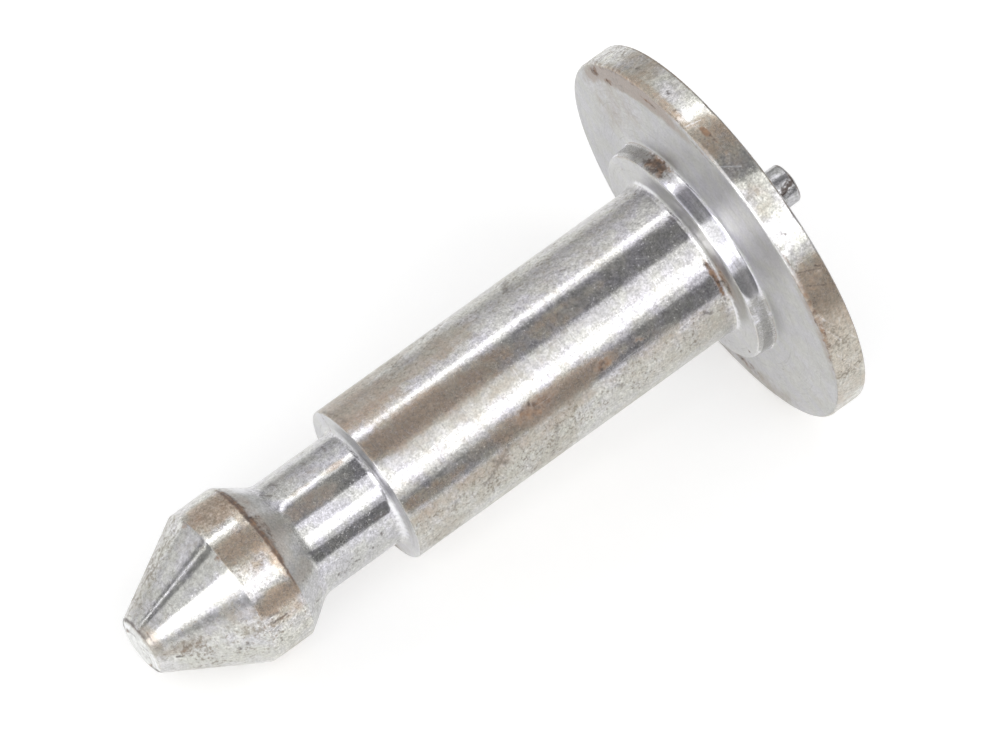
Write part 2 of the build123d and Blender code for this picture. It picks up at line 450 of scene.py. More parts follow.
shankSteel = {
    **plainSteel,
    "steel": (0.588, 0.58, 0.598), "mottle": 0.8, "speckle": 1.1, "markHeight": 0.0035,
    "grainHeight": 0.001, "pitCover": 0.03, "pitHeight": -0.001, "nickHeight": -0.0072,
    "scratches": 0.5, "pitSize": 0.38, "pitTone": (0.25, 0.215, 0.17), "film": 0.35,
    "filmAndShadeTone": (0.41, 0.325, 0.26),
    "rust": [
        (20.1, -31, 0.5, 0.7, 0.55), (15, 57, 2.6, 1, 0.78), (17.6, 54, 1.4, 0.7, 0.45),
        (22.7, 60, 1.2, 0.6, 0.85), (27, 60, 1.8, 0.5, 0.56), (10.3, 75, 1.3, 0.5, 0.5),
        (35.6, 57, 0.4, 2.5, 0.9), (8, 160, 2.5, 1.5, 0.6), (24, -140, 3, 1.5, 0.6),
        (30, 135, 1.5, 1.2, 0.6), (4, -100, 1.5, 1.2, 0.6),
    ],
    "patinaAndShade": [
        (2, -20, 6, 2.4, 1.05), (10, -19, 6.5, 2, 0.6), (7, 17, 10, 1.6, 1.05),
        (22, 17, 5, 1, 0.55), (12, 30, 12, 0.9, 0.35), (3, 61, 4, 0.6, 0.7),
        (17, 59, 7, 1.2, 1.25), (30, 84, 7, 2.6, 0.4), (4, -41, 7, 1.4, 0.7),
        (3, 103, 4, 2.2, 0.6), (15.5, 104, 3, 2.2, 0.6), (12, 74, 14, 0.9, 0.55),
        (10, 87, 14, 1.6, 0.35), (15, 180, 18, 9, 0.6),
    ],
    "pits": [
        (12, 82, 14, 2.6, 1.35), (28, 84, 14, 2.8, 1.15), (3, 104, 4, 2.2, 1.2),
        (15, 104, 4, 2.2, 1.2), (14, -22, 18, 1.4, 1.3), (18, -34, 24, 2.6, 1.2),
        (6.5, 58, 1.8, 1, 0.7), (8, 18, 10, 1.4, 0.7), (12, 37, 14, 1.4, 0.6),
        (28, 58, 7, 0.9, 0.5), (18, 180, 22, 12, 0.9),
    ],
    "dull": [
        (18, 101, 24, 3.8, 0.85), (18, -48, 24, 3.2, 0.7), (14, 32, 22, 0.8, 0.5),
        (18, 180, 22, 12, 0.6), (14, -20, 20, 1.2, 0.4),
    ],
    "darkStrokes": [
        (20.8, -39, 19.7, -24, 0.5, 0.5), (11.6, 68.5, 7.6, 84, 0.45, 0.45),
        (16.2, 78, 14.8, 104, 0.4, 0.4), (9.4, 72, 10.4, 78, 0.45, 0.45),
        (0.3, -38, 0.5, -12, 0.3, 0.5), (25, -9.5, 25.2, -8.5, 0.3, 0.6),
        (30.2, -33, 30.4, -31.5, 0.25, 0.45), (35.5, 6, 35.7, 9, 0.25, 0.6),
        (33.4, 73, 33.8, 77, 0.4, 0.6), (23.2, 80, 23.4, 84, 0.3, 0.45),
        (4.5, 81, 4.2, 86, 0.3, 0.4),
    ],
    "lightStrokes": [
        (15.3, 27, 15.3, 36, 0.09, 0.4), (17.6, 30, 17.6, 38, 0.08, 0.4),
        (19.1, 25, 19.1, 37, 0.1, 0.45), (20.4, 29, 20.4, 35, 0.08, 0.45),
        (21.9, 26, 21.9, 36, 0.09, 0.4), (23, 31, 23, 39, 0.08, 0.4),
        (24.4, 24, 24.4, 38, 0.1, 0.45), (27, 28, 27, 37, 0.09, 0.4),
        (30.6, 29, 30.6, 38, 0.08, 0.4), (33.1, 27, 33.1, 35, 0.08, 0.4),
        (30.5, 16, 31.6, 20, 0.12, 0.8), (31.6, 15, 31, 21, 0.1, 0.7),
    ],
}
collarFaceSteel = {
    **plainSteel,
    "acrossFace": True, "steel": (0.55, 0.548, 0.548), "tint": 0.4, "roughness": 0.32,
    "turned": 0.5, "scratches": 0.2,
    "rust": [
        (8.6, 61, 0.5, 2.2, 0.82), (10.4, 124, 0.25, 0.2, 0.95), (9.8, -52, 0.4, 0.4, 0.5),
        (9.2, -160, 0.8, 2, 0.7),
    ],
    "patinaAndShade": [(8.8, 61, 0.9, 2.8, 0.6)],
    "pits": [(10, 180, 2, 8, 0.5)],
    "darkStrokes": [(10.4, 123.5, 10.5, 124.5, 0.18, 0.85)],
    # painted highlights on the roundings at the shank's root and at the collar's front edge
    "lightArcs": [
        (36, 8.2, 74, 112, 0.5, 0.85), (36.1, 8.3, -44, -12, 0.3, 0.7),
        (36.25, 11, 20, 120, 0.14, 0.5),
    ],
}
collarSteel = {
    **plainSteel,
    "steel": (0.69, 0.685, 0.735), "tint": 0.6, "speckle": 0.8, "roughness": 0.15,
    # the film tone here is grey: on the collar the film is mostly painted shade
    "pitTone": (0.16, 0.13, 0.11), "filmAndShadeTone": (0.38, 0.375, 0.36), "dullTone": (0.56, 0.56, 0.54),
    "rust": [
        (37.3, -13, 1, 1.5, 0.95), (37.75, -14, 0.4, 2.2, 0.85), (36.8, -17, 0.5, 0.8, 0.8),
        (36.7, -8, 0.4, 0.7, 0.8), (37.4, 150, 0.9, 2.5, 0.7),
    ],
    # the patches at -27, -38, 77 and 98 are painted shade on the wall beside the flange; the one
    # at -14 belongs to the rust crust
    "patinaAndShade": [
        (37.3, -14, 1.2, 2.3, 0.9), (37.3, -27, 1.4, 1.6, 1), (37.3, -38, 1.4, 3, 1.2),
        (37.3, 77, 1.4, 1.4, 1), (37.3, 98, 1.4, 3, 1.2), (37.3, 180, 2, 12, 0.6),
    ],
    # the pits at -45 add speckled painted shade to that side; those at -14 belong to the rust
    # crust
    "pits": [(37.3, -14, 1, 3, 1.1), (37.3, -45, 1.5, 5, 0.4)],
    "dull": [(37.3, -14, 1, 2.5, 0.6)],
    "darkStrokes": [
        (36.9, -21, 37.4, -15, 0.55, 0.85), (37.5, -17, 37.3, -9, 0.5, 0.85),
        (36.7, -16, 36.5, -11, 0.35, 0.8), (37, -27, 37.2, -20, 0.7, 0.4),
    ],
    "lightStrokes": [(37.2, 27, 37.6, 30, 0.25, 0.5)],
    # painted shade across the wall: its upper left beside the flange, and two painted dark
    # reflection bands
    "darkArcs": [
        (37.2, 11.2, -33, -18, 1.2, 0.35), (37.2, 11.2, 6, 17, 1.2, 0.2),
        (37.2, 11.2, 52, 68, 1.2, 0.2),
    ],
    "lightArcs": [(38.05, 11.2, -27, -6, 0.24, 0.85)],
}
flangeSteel = {
    **plainSteel,
    "acrossFace": True, "steel": (0.553, 0.553, 0.556), "tint": 0.5, "roughness": 0.46,
    "turned": 0.5, "filmAndShadeTone": (0.43, 0.37, 0.335),
    "rust": [
        (17.8, -38, 0.4, 1.1, 0.8), (18.6, -46, 0.4, 1.2, 0.8), (18.4, -12, 0.4, 1.8, 0.72),
        (18.9, 12, 0.3, 2, 0.7), (19.2, 75, 0.3, 6.5, 0.65), (19.2, -30, 0.3, 8, 0.55),
        (17, 170, 1.2, 3, 0.6),
    ],
    "patinaAndShade": [
        (18.5, -26, 1.1, 9, 1.7), (15.5, -44, 3.2, 6, 0.45), (19, 75, 0.6, 7, 0.6),
        (16, 110, 3, 10, 0.2), (18, 180, 2, 12, 0.5),
    ],
    "pits": [(18.4, -26, 1.1, 8.5, 0.9), (18, 180, 2, 12, 0.5)],
    "darkStrokes": [(14.8, 121, 14.9, 121.5, 0.15, 0.6), (13.8, 132, 13.9, 132.5, 0.15, 0.6)],
}
rimSteel = {
    **plainSteel,
    "steel": (0.62, 0.615, 0.605), "mottle": 0.8, "speckle": 1.2, "markHeight": 0.003,
    "grainHeight": 0.003, "nickHeight": -0.0048, "scratches": 0.6, "pitSize": 0.42,
    "pitTone": (0.28, 0.245, 0.2), "film": 0.25, "filmAndShadeTone": (0.45, 0.36, 0.28),
    "rust": [
        (40.1, 9, 0.4, 0.7, 1.1), (40.3, 12.5, 0.3, 0.5, 0.9), (40.1, 59, 0.9, 1.2, 0.55),
        (40.4, 17.5, 0.5, 0.6, 0.6), (41.9, 10, 0.12, 14, 0.75), (39, -35, 0.25, 9, 0.6),
        (39, 62, 0.25, 8, 0.7), (40.5, 140, 0.8, 3, 0.7), (40.2, -120, 0.8, 2.5, 0.7),
    ],
    "patinaAndShade": [
        (40.4, 62, 2.5, 3, 1.25), (40.4, 75, 2.5, 3.6, 1.2), (40.4, 88, 2.5, 3.6, 0.95),
        (40.4, 103, 2.5, 4, 0.7), (40.4, 12, 2.4, 2.4, 0.7), (39.8, 19, 1.6, 2.2, 0.6),
        (39.1, -12, 0.5, 9, 0.8), (40, 31, 1, 2, 0.3), (40.4, -24, 2.4, 3, 0.45),
        (40.4, 180, 3, 30, 0.6),
    ],
    "pits": [
        (40.4, 86, 2, 5, 1.3), (40.4, 31, 2, 2.5, 0.4), (40.4, -40, 2, 8, 1.2),
        (41.93, 8, 0.13, 19, 2.6), (40.4, 180, 3, 30, 0.8),
    ],
    "dull": [(40.4, 92, 2.5, 6, 0.8), (40.4, -50, 2.5, 7, 0.5), (40.4, 180, 3, 30, 0.5)],
    "darkStrokes": [
        (40.2, -23.4, 40.3, -22.6, 0.3, 0.75), (40.2, -8.3, 40.35, -7.6, 0.26, 0.85),
        (39.5, -1.6, 39.6, -1, 0.18, 0.6), (41.1, 55.6, 41.3, 56.4, 0.22, 1),
        (40.1, 43, 40.2, 44, 0.2, 0.5), (39.5, 54.4, 41.3, 57.2, 0.13, 0.7),
        (39.3, 58.8, 41, 61.9, 0.15, 0.6), (40.1, 15.5, 41.2, 18.5, 0.3, 0.3),
    ],
    "lightStrokes": [
        (39.1, 19.5, 40.5, 22.5, 0.12, 0.9), (38.9, 72, 40.2, 80, 0.12, 0.35),
        (39.5, 70, 41.6, 83, 0.12, 0.35), (40.9, 73, 39.6, 87, 0.12, 0.35),
        (41.7, 78, 40.2, 92, 0.12, 0.35), (39.3, 84, 41.2, 96, 0.12, 0.35),
        (39.2, 4.5, 40.6, 5.5, 0.1, 0.6),
    ],
    # painted dark reflection along the rear chamfer
    "darkArcs": [(41.9, 19.45, -60, 60, 0.26, 0.4)],
    # painted highlights: along the front chamfer, and a crisp patch where the bright strip crosses
    # the rim
    "lightArcs": [(38.95, 19.4, 14, 58, 0.3, 0.55), (40.3, 19.5, -1.4, 1.2, 1.1, 0.5)],
}
stubSteel = {
    **plainSteel,
    "steel": (0.46, 0.46, 0.47), "tint": 0.5, "mottle": 1.6, "roughness": 0.24,
    "grainHeight": 0.016, "nickHeight": -0.0048, "pitSize": 0.4, "pitCover": 0.05,
    "pitHeight": -0.01, "pitTone": (0.07, 0.045, 0.045), "film": 0.1,
    "filmAndShadeTone": (0.35, 0.3, 0.28),
    "rust": [(48.3, 0, 0.2, 6, 0.6)],
    "patinaAndShade": [(42.3, 0, 0.3, 8, 0.9)],
    "pits": [(47.3, 42, 1, 0.45, 1.4), (46, 52, 0.8, 0.35, 1.4), (46, 90, 2, 0.5, 0.8)],
    # the dark strokes are painted dark reflection bands across the stub
    "darkStrokes": [
        (45.8, 58, 48.2, 36, 0.4, 1), (46.5, 53, 48.2, 36, 0.55, 1), (47, 47, 48.3, 29, 0.45, 1),
        (43.5, -8, 47.8, -30, 0.3, 0.3),
    ],
    # the light strokes are painted highlights
    "lightStrokes": [
        (44.2, 78, 47.8, 58, 0.26, 0.9), (44, 60, 46.6, 38, 0.24, 0.6),
        (43.6, 22, 45.6, 8, 0.26, 0.8), (43.2, 40, 44.4, 30, 0.25, 0.7),
        (43.4, 0, 45.2, -12, 0.2, 0.6),
    ],
    # painted shade: a dark rim round the domed end
    "darkArcs": [(48.4, 1.95, -120, 130, 0.3, 0.55)],
}
bodyFinishes = {
    "noseSteel": noseSteel, "coneSteel": coneSteel, "landSteel": landSteel,
    "neckSteel": neckSteel, "shoulderSteel": shoulderSteel, "shankSteel": shankSteel,
    "collarFaceSteel": collarFaceSteel, "collarSteel": collarSteel, "flangeSteel": flangeSteel,
    "rimSteel": rimSteel, "stubSteel": stubSteel,
}


def paintWearAndShade(piece, looks, finishes):
    # red holds the rust, green the brown film and the collar's painted shade, blue the pits and
    # alpha the dullness
    mesh = piece.data
    station, radius, around = readPoints(mesh)
    numbers = readRings(mesh)
    wallAfter = np.array(finishes + finishes[-1:])[numbers]
    wallBefore = np.array(finishes[:1] + finishes)[numbers]
    paint = np.zeros((len(station), 4))
    for name, look in looks.items():
        place = radius if look["acrossFace"] else station
        here = (wallAfter == name) | (wallBefore == name)
        for channel, kind in enumerate(("rust", "patinaAndShade", "pits", "dull")):
            for middle, turned, reach, sweep, strength in look.get(kind, ()):
                off = np.radians((around - turned + 180) % 360 - 180) * radius
                away = np.hypot((place - middle) / reach, off / sweep)
                mark = np.clip(1.5 - away, 0, 1)  # full within a half, gone past one and a half
                mark = here * strength * mark * mark * (3 - 2 * mark)
                paint[:, channel] = np.maximum(paint[:, channel], mark)
    layer = mesh.color_attributes.new(name="wearAndShadePaint", type="FLOAT_COLOR", domain="POINT")
    layer.data.foreach_set("color", paint.ravel())


def unroll(piece, rings, length):
    # a map of the wall: along the outline, and around
    mesh = piece.data
    around = readPoints(mesh)[2]
    steps = np.hypot(*np.diff(np.array(rings), axis=0).T)
    run = np.concatenate(([0], np.cumsum(steps)))[readRings(mesh)]
    corner = readAll(mesh.loops, "vertex_index")
    start = readAll(mesh.polygons, "loop_start")
    count = readAll(mesh.polygons, "loop_total")
    turn = around[corner] / 360
    turn += np.round(np.repeat(turn[start], count) - turn)
    layer = mesh.uv_layers.new(name="pinUnrolled")
    layer.data.foreach_set("uv", np.column_stack((run[corner] / length, turn + 0.5)).ravel())


def assignFinishes(piece, finishes, names):
    mesh = piece.data
    numbers = readRings(mesh)
    for face in mesh.polygons:
        ring = min(numbers[v] for v in face.vertices)
        face.material_index = names.index(finishes[ring])


finishes = ringFinishes(rings, bodyOutline(bodyShape))
paintWearAndShade(body, bodyFinishes, finishes)
unroll(body, rings, bodyShape["mapLength"])
assignFinishes(body, finishes, list(bodyFinishes))
pressDents(body, sum(bodyDents.values(), []))
body.data.attributes.remove(body.data.attributes["ring"])
body.rotation_euler = (0, -pinTilt, 0)
body.location = shoulderPlace
deselectAll()
body.select_set(True)
bpy.context.view_layer.objects.active = body
bpy.ops.object.transform_apply(location=True, rotation=True, scale=True)
bpy.ops.object.shade_smooth_by_angle(angle=math.radians(bodyShape["smoothBelow"]))
bpy.ops.object.modifier_add(type="WEIGHTED_NORMAL")
body.modifiers[-1].keep_sharp = True
body.modifiers[-1].weight = bodyShape["normalWeight"]
bpy.ops.object.modifier_apply(modifier=body.modifiers[-1].name)
print("body dented, painted with wear and laid down")


# Nodes
def feed(tree, socket, value):
    if isinstance(value, bpy.types.NodeSocket):
        tree.links.new(value, socket)
    else:
        socket.default_value = value


def addNode(tree, kind, inputs=None, **settings):
    node = tree.nodes.new("ShaderNode" + kind)
    for key, value in settings.items():
        setattr(node, key, value)
    for key, value in (inputs or {}).items():
        feed(tree, node.inputs[key], value)
    return node


def calc(tree, operation, *values, clamp=False):
    node = addNode(tree, "Math", operation=operation, use_clamp=clamp)
    for socket, value in zip(node.inputs, values):
        feed(tree, socket, value)
    return node.outputs[0]


def fade(tree, value, low, high):
    # 0 below low and 1 above high
    inputs = {"Value": value, "From Min": low, "From Max": high}
    return addNode(tree, "MapRange", inputs, interpolation_type="SMOOTHSTEP").outputs["Result"]


def plus(tree, base, value, amount, clamp=False):
    # base + value * amount
    return calc(tree, "MULTIPLY_ADD", value, amount, base, clamp=clamp)


def times(tree, first, second):
    return calc(tree, "MULTIPLY", first, second)


def centred(tree, value):
    return calc(tree, "SUBTRACT", value, 0.5)


def vector(tree, operation, first, second, output="Vector"):
    inputs = {0: first, ("Scale" if operation == "SCALE" else 1): second}
    return addNode(tree, "VectorMath", inputs, operation=operation).outputs[output]


def blend(tree, amount, first, second):
    node = addNode(tree, "Mix", data_type="RGBA")
    for index, value in ((0, amount), (6, first), (7, second)):
        feed(tree, node.inputs[index], value)
    return node.outputs[2]


def clouds(tree, place, scale, detail, rough=0.55):
    inputs = {"Vector": place, "Scale": scale, "Detail": detail, "Roughness": rough}
    return addNode(tree, "TexNoise", inputs).outputs[0]


def patches(tree, place, scale, detail, rough, low, high):
    return fade(tree, clouds(tree, place, scale, detail, rough), low, high)


def newGroup(name, inputs, *outputs):
    # inputs are named with their values, and all groups take a place on the pin
    group = bpy.data.node_groups.new(name, "ShaderNodeTree")
    inputs = {"Place": (0, 0, 0), **inputs}
    kinds = {3: "NodeSocketVector", 4: "NodeSocketColor"}
    for label, value in inputs.items():
        kind = kinds[len(value)] if isinstance(value, tuple) else "NodeSocketFloat"
        socket = group.interface.new_socket(name=label, in_out="INPUT", socket_type=kind)
        socket.default_value = value
    kinds = {"Place": "NodeSocketVector", "Color": "NodeSocketColor"}
    for label in outputs:
        kind = kinds.get(label, "NodeSocketFloat")
        group.interface.new_socket(name=label, in_out="OUTPUT", socket_type=kind)
    given = group.nodes.new("NodeGroupInput").outputs
    put = group.nodes.new("NodeGroupOutput").inputs
    return group, given["Place"], given, put


def useGroup(tree, group, place, **inputs):
    node = tree.nodes.new("ShaderNodeGroup")
    node.node_tree = group
    for key, value in {"Place": place, **inputs}.items():
        feed(tree, node.inputs[key], value)
    return node.outputs


def buildPinPlace():
    # object coordinates as millimetres from the shoulder, along the pin and across it
    group, place, _, put = newGroup("pinPlace", {}, "Place")
    inputs = {"Vector": place, "Location": shoulderPlace}
    inputs.update({"Rotation": (0, -pinTilt, 0), "Scale": (mm, mm, mm)})
    mapping = addNode(group, "Mapping", inputs, vector_type="TEXTURE")
    feed(group, put["Place"], mapping.outputs[0])
    return group


def fromAxis(tree, part):
    across = addNode(tree, "CombineXYZ", {"Y": part[1], "Z": part[2]})
    return vector(tree, "LENGTH", across.outputs[0], (0, 0, 0), "Value")


# Each effect's values stand before it. Clouds are a scale per millimetre, a detail and a
# roughness. A range is where a fade starts and is full, and patches end with one
turningLook = {"rings": (1, 3, 0.7), "aroundScale": 0.2}


def buildTurningMarks(look):
    # fine rings that run on for part of a turn
    group, place, given, put = newGroup("turningMarks", {"Spacing": 0.25}, "Marks")
    part = addNode(group, "SeparateXYZ", {"Vector": place}).outputs
    along = calc(group, "ADD", part[0], fromAxis(group, part))
    inputs = {
        "X": calc(group, "DIVIDE", along, given["Spacing"]),
        "Y": times(group, part[1], look["aroundScale"]),
        "Z": times(group, part[2], look["aroundScale"]),
    }
    ring = addNode(group, "CombineXYZ", inputs).outputs[0]
    feed(group, put["Marks"], clouds(group, ring, *look["rings"]))
    return group


pittingLook = {
    "fine": (1.15, 5, 0.7), "grain": (1.9, 3, 0.7), "mottle": (0.8, 4, 0.7),  # at size 1
    "mottleRange": (0.3, 0.7),
    "uneven": (0.45, 3), "unevenness": 0.3,
    "nicks": (4.6, 1, 0.55, 0.68, 0.76),
    "paintCover": 0.26,
    "coverLowers": 0.5,  # at full cover, the least height of a pit
    "leastHeight": 0.68, "edge": 0.17,
}


def buildPitting(look):
    # small ragged pits, more of them where they are painted, in a mottled and grainy skin
    inputs = {"Paint": 0.0, "Size": 0.35, "Cover": 0.2}
    outputs = ("Pits", "Grain", "Mottle", "Nicks")
    group, place, given, put = newGroup("pitting", inputs, *outputs)
    fine, grain, mottle = (
        clouds(group, place, calc(group, "DIVIDE", scale, given["Size"]), detail, rough)
        for scale, detail, rough in (look["fine"], look["grain"], look["mottle"])
    )
    cover = plus(group, given["Cover"], given["Paint"], look["paintCover"])
    uneven = clouds(group, place, *look["uneven"])
    uneven = plus(group, -look["unevenness"] / 2, uneven, look["unevenness"])
    least = plus(group, look["leastHeight"], cover, -look["coverLowers"])
    least = calc(group, "SUBTRACT", least, uneven)
    pits = fade(group, fine, least, calc(group, "ADD", least, look["edge"]))
    feed(group, put["Pits"], pits)
    feed(group, put["Grain"], grain)
    feed(group, put["Mottle"], fade(group, mottle, *look["mottleRange"]))
    feed(group, put["Nicks"], patches(group, place, *look["nicks"]))
    return group


filmLook = {
    "broad": (0.16, 3, 0.55, 0.35, 0.65),
    "uneven": (0.42, 3, 0.55, 0.35, 0.65), "unevenness": 0.55, "evenly": 0.6,
    "ragged": (1.3, 5, 0.68), "raggedness": 1.1, "range": (0.1, 0.85),
    "grain": (3.2, 4, 0.7, 0.3, 0.62), "graininess": 0.3,
    "brown": (0.7, 3, 0.55, 0.35, 0.6), "brownness": 0.5, "paintBrownness": 0.7,
    "olive": (0.45, 0.44, 0.38, 1),
}


def buildBrownFilmAndShade(look):
    # a thin dull film over the steel, thicker and browner where it is painted. On the collar its
    # tone is grey and it is painted shade
    inputs = {"Paint": 0.0, "Everywhere": 0.2}
    inputs.update({"Steel": (0.5, 0.5, 0.5, 1), "Brown": (0.4, 0.33, 0.27, 1)})
    group, place, given, put = newGroup("brownFilmAndShade", inputs, "Color", "Film")
    broad, uneven, grain, brown = (
        patches(group, place, *look[kind]) for kind in ("broad", "uneven", "grain", "brown")
    )
    uneven = plus(group, look["evenly"], uneven, look["unevenness"])
    thick = times(group, given["Paint"], uneven)
    thick = plus(group, thick, given["Everywhere"], broad)
    ragged = centred(group, clouds(group, place, *look["ragged"]))
    film = fade(group, plus(group, thick, ragged, look["raggedness"]), *look["range"])
    grain = plus(group, 1 - look["graininess"], grain, look["graininess"])
    film = times(group, film, grain)
    brown = times(group, brown, look["brownness"])
    brown = plus(group, brown, given["Paint"], look["paintBrownness"])
    tone = blend(group, brown, look["olive"], given["Brown"])
    feed(group, put["Film"], film)
    feed(group, put["Color"], blend(group, film, given["Steel"], tone))
    return group


rustLook = {
    "ragged": (1.9, 6, 0.72), "raggedness": 1.7, "range": (0.4, 1.0),
    "tones": (1.1, 4, 0.6),
    "dark": (0.36, (0.07, 0.05, 0.042, 1)),
    "middle": (0.5, (0.22, 0.14, 0.095, 1)),
    "orange": (0.66, (0.33, 0.205, 0.125, 1)),
}


def buildRust(look):
    # ragged rust, from nearly black to orange
    inputs = {"Paint": 0.0, "Steel": (0.5, 0.5, 0.5, 1)}
    group, place, given, put = newGroup("rust", inputs, "Color", "Rust")
    ragged = centred(group, clouds(group, place, *look["ragged"]))
    rust = fade(group, plus(group, given["Paint"], ragged, look["raggedness"]), *look["range"])
    tone = addNode(group, "ValToRGB", {"Fac": clouds(group, place, *look["tones"])})
    stops = tone.color_ramp.elements
    stops[0].position, stops[0].color = look["dark"]
    stops[1].position, stops[1].color = look["orange"]
    where, color = look["middle"]
    stops.new(where).color = color
    feed(group, put["Rust"], rust)
    feed(group, put["Color"], blend(group, rust, given["Steel"], tone.outputs["Color"]))
    return group


scratchLook = {
    "along": {"Scale": (0.22, 5, 5)},
    "slanted": {"Scale": (7, 0.5, 0.5), "Rotation": (0.3, 0.5, 0.9)},
    "leastHeight": 0.74, "amountLowers": 0.08, "edge": 0.05,
}


def buildScratches(look):
    # thin scratches along the pin and aslant
    group, place, given, put = newGroup("scratches", {"Amount": 0.3}, "Scratches")
    along, slanted = (
        clouds(group, addNode(group, "Mapping", {"Vector": place, **way}).outputs[0], 1, 2)
        for way in (look["along"], look["slanted"])
    )
    least = plus(group, look["leastHeight"], given["Amount"], -look["amountLowers"])
    most = calc(group, "ADD", least, look["edge"])
    line = fade(group, calc(group, "MAXIMUM", along, slanted), least, most)
    feed(group, put["Scratches"], line)
    return group


strokeLook = {"ragged": (3.5, 3, 0.6), "raggedness": 2.5}
arcLook = {"ragged": (2.5, 3, 0.6), "raggedness": 1.8, "endFade": 4}  # degrees
markInputs = {"Width": 0.1, "Strength": 1.0, "Others": 0.0}


def raggedLine(group, place, given, look, distance):
    # 1 at no distance and 0 past the width, with ragged sides
    ragged = centred(group, clouds(group, place, *look["ragged"]))
    ragged = times(group, ragged, given["Width"])
    distance = plus(group, distance, ragged, look["raggedness"])
    return fade(group, distance, given["Width"], 0)


def putOver(group, given, put, mark):
    mark = times(group, mark, given["Strength"])
    feed(group, put["Marks"], calc(group, "MAXIMUM", mark, given["Others"]))


def buildStroke(look):
    # one short mark, over the others
    inputs = {"Start": (0, 0, 0), "End": (1, 0, 0), **markInputs}
    group, place, given, put = newGroup("stroke", inputs, "Marks")
    run = vector(group, "SUBTRACT", given["End"], given["Start"])
    away = vector(group, "SUBTRACT", place, given["Start"])
    onto = vector(group, "DOT_PRODUCT", away, run, "Value")
    whole = vector(group, "DOT_PRODUCT", run, run, "Value")
    nearest = vector(group, "SCALE", run, calc(group, "DIVIDE", onto, whole, clamp=True))
    distance = vector(group, "DISTANCE", away, nearest, "Value")
    putOver(group, given, put, raggedLine(group, place, given, look, distance))
    return group


def buildArc(look):
    # a thin line round the pin for part of a turn, in degrees, over the others
    inputs = {"Station": 0.0, "Radius": 8.0, "From": 0.0, "To": 30.0, **markInputs}
    group, place, given, put = newGroup("arc", inputs, "Marks")
    part = addNode(group, "SeparateXYZ", {"Vector": place}).outputs
    off = {"X": part[0], "Y": fromAxis(group, part)}
    ring = {"X": given["Station"], "Y": given["Radius"]}
    off, ring = (addNode(group, "CombineXYZ", where).outputs[0] for where in (off, ring))
    distance = vector(group, "DISTANCE", off, ring, "Value")
    around = calc(group, "ARCTAN2", times(group, part[1], -1), part[2])
    around = calc(group, "DEGREES", around)
    ends = (around, given["From"]), (given["To"], around)
    begun, ended = (
        fade(group, calc(group, "SUBTRACT", *pair), -look["endFade"], look["endFade"])
        for pair in ends
    )
    mark = times(group, begun, ended)
    mark = times(group, mark, raggedLine(group, place, given, look, distance))
    putOver(group, given, put, mark)
    return group


pinPlace = buildPinPlace()
turningMarks = buildTurningMarks(turningLook)
pitting = buildPitting(pittingLook)
brownFilmAndShade = buildBrownFilmAndShade(filmLook)
rust = buildRust(rustLook)
scratches = buildScratches(scratchLook)
stroke = buildStroke(strokeLook)
arc = buildArc(arcLook)


def onWall(where, around, look):
    # the wall's nearest place to a station, or to a radius on a face
    wall = rings
    if look["acrossFace"]:
        wall = [ring for ring in rings if (ring[0] < 0) == (where < 3)]
    measure = 1 if look["acrossFace"] else 0
    station, radius = min(wall, key=lambda ring: abs(ring[measure] - where))
    a = math.radians(around)
    return (station, -radius * math.sin(a), radius * math.cos(a))


def addMarks(tree, place, look, tone):
    marks = 0.0
    for w1, a1, w2, a2, width, strength in look.get(tone + "Strokes", ()):
        ends = {"Start": onWall(w1, a1, look), "End": onWall(w2, a2, look)}
        mark = {**ends, "Width": width, "Strength": strength, "Others": marks}
        marks = useGroup(tree, stroke, place, **mark)["Marks"]
    for station, radius, first, last, width, strength in look.get(tone + "Arcs", ()):
        ends = {"Station": station, "Radius": radius, "From": first, "To": last}
        mark = {**ends, "Width": width, "Strength": strength, "Others": marks}
        marks = useGroup(tree, arc, place, **mark)["Marks"]
    return marks


def shade(color, times=1):
    return (*(min(c * times, 1) for c in color), 1)


def newMaterial(name):
    material = bpy.data.materials.new(name)
    material.use_nodes = True
    return material, material.node_tree, material.node_tree.nodes["Principled BSDF"]


def bareSteel(tree, place, look, broad, pits):
    # lighter and darker by the mottle and the grain, and faintly lilac or olive
    mottle, grain = centred(tree, pits["Mottle"]), centred(tree, pits["Grain"])
    tones = plus(tree, broad, mottle, -look["mottle"])
    tones = plus(tree, tones, grain, look["mottle"] * look["grainTone"])
    darker, lighter = (shade(look["steel"], 1 + way * look["toneSpread"]) for way in (-1, 1))
    steel = blend(tree, tones, darker, lighter)
    lilac, olive = ([1 + c * look["tint"] for c in look[hue]] for hue in ("lilac", "olive"))
    drift = patches(tree, place, *look["drift"])
    return vector(tree, "MULTIPLY", steel, blend(tree, drift, (*lilac, 1), (*olive, 1)))


def stain(tree, look, kind, amount, color):
    amount = times(tree, amount, look[kind + "Stain"])
    return blend(tree, amount, color, shade(look[kind + "Tone"]))


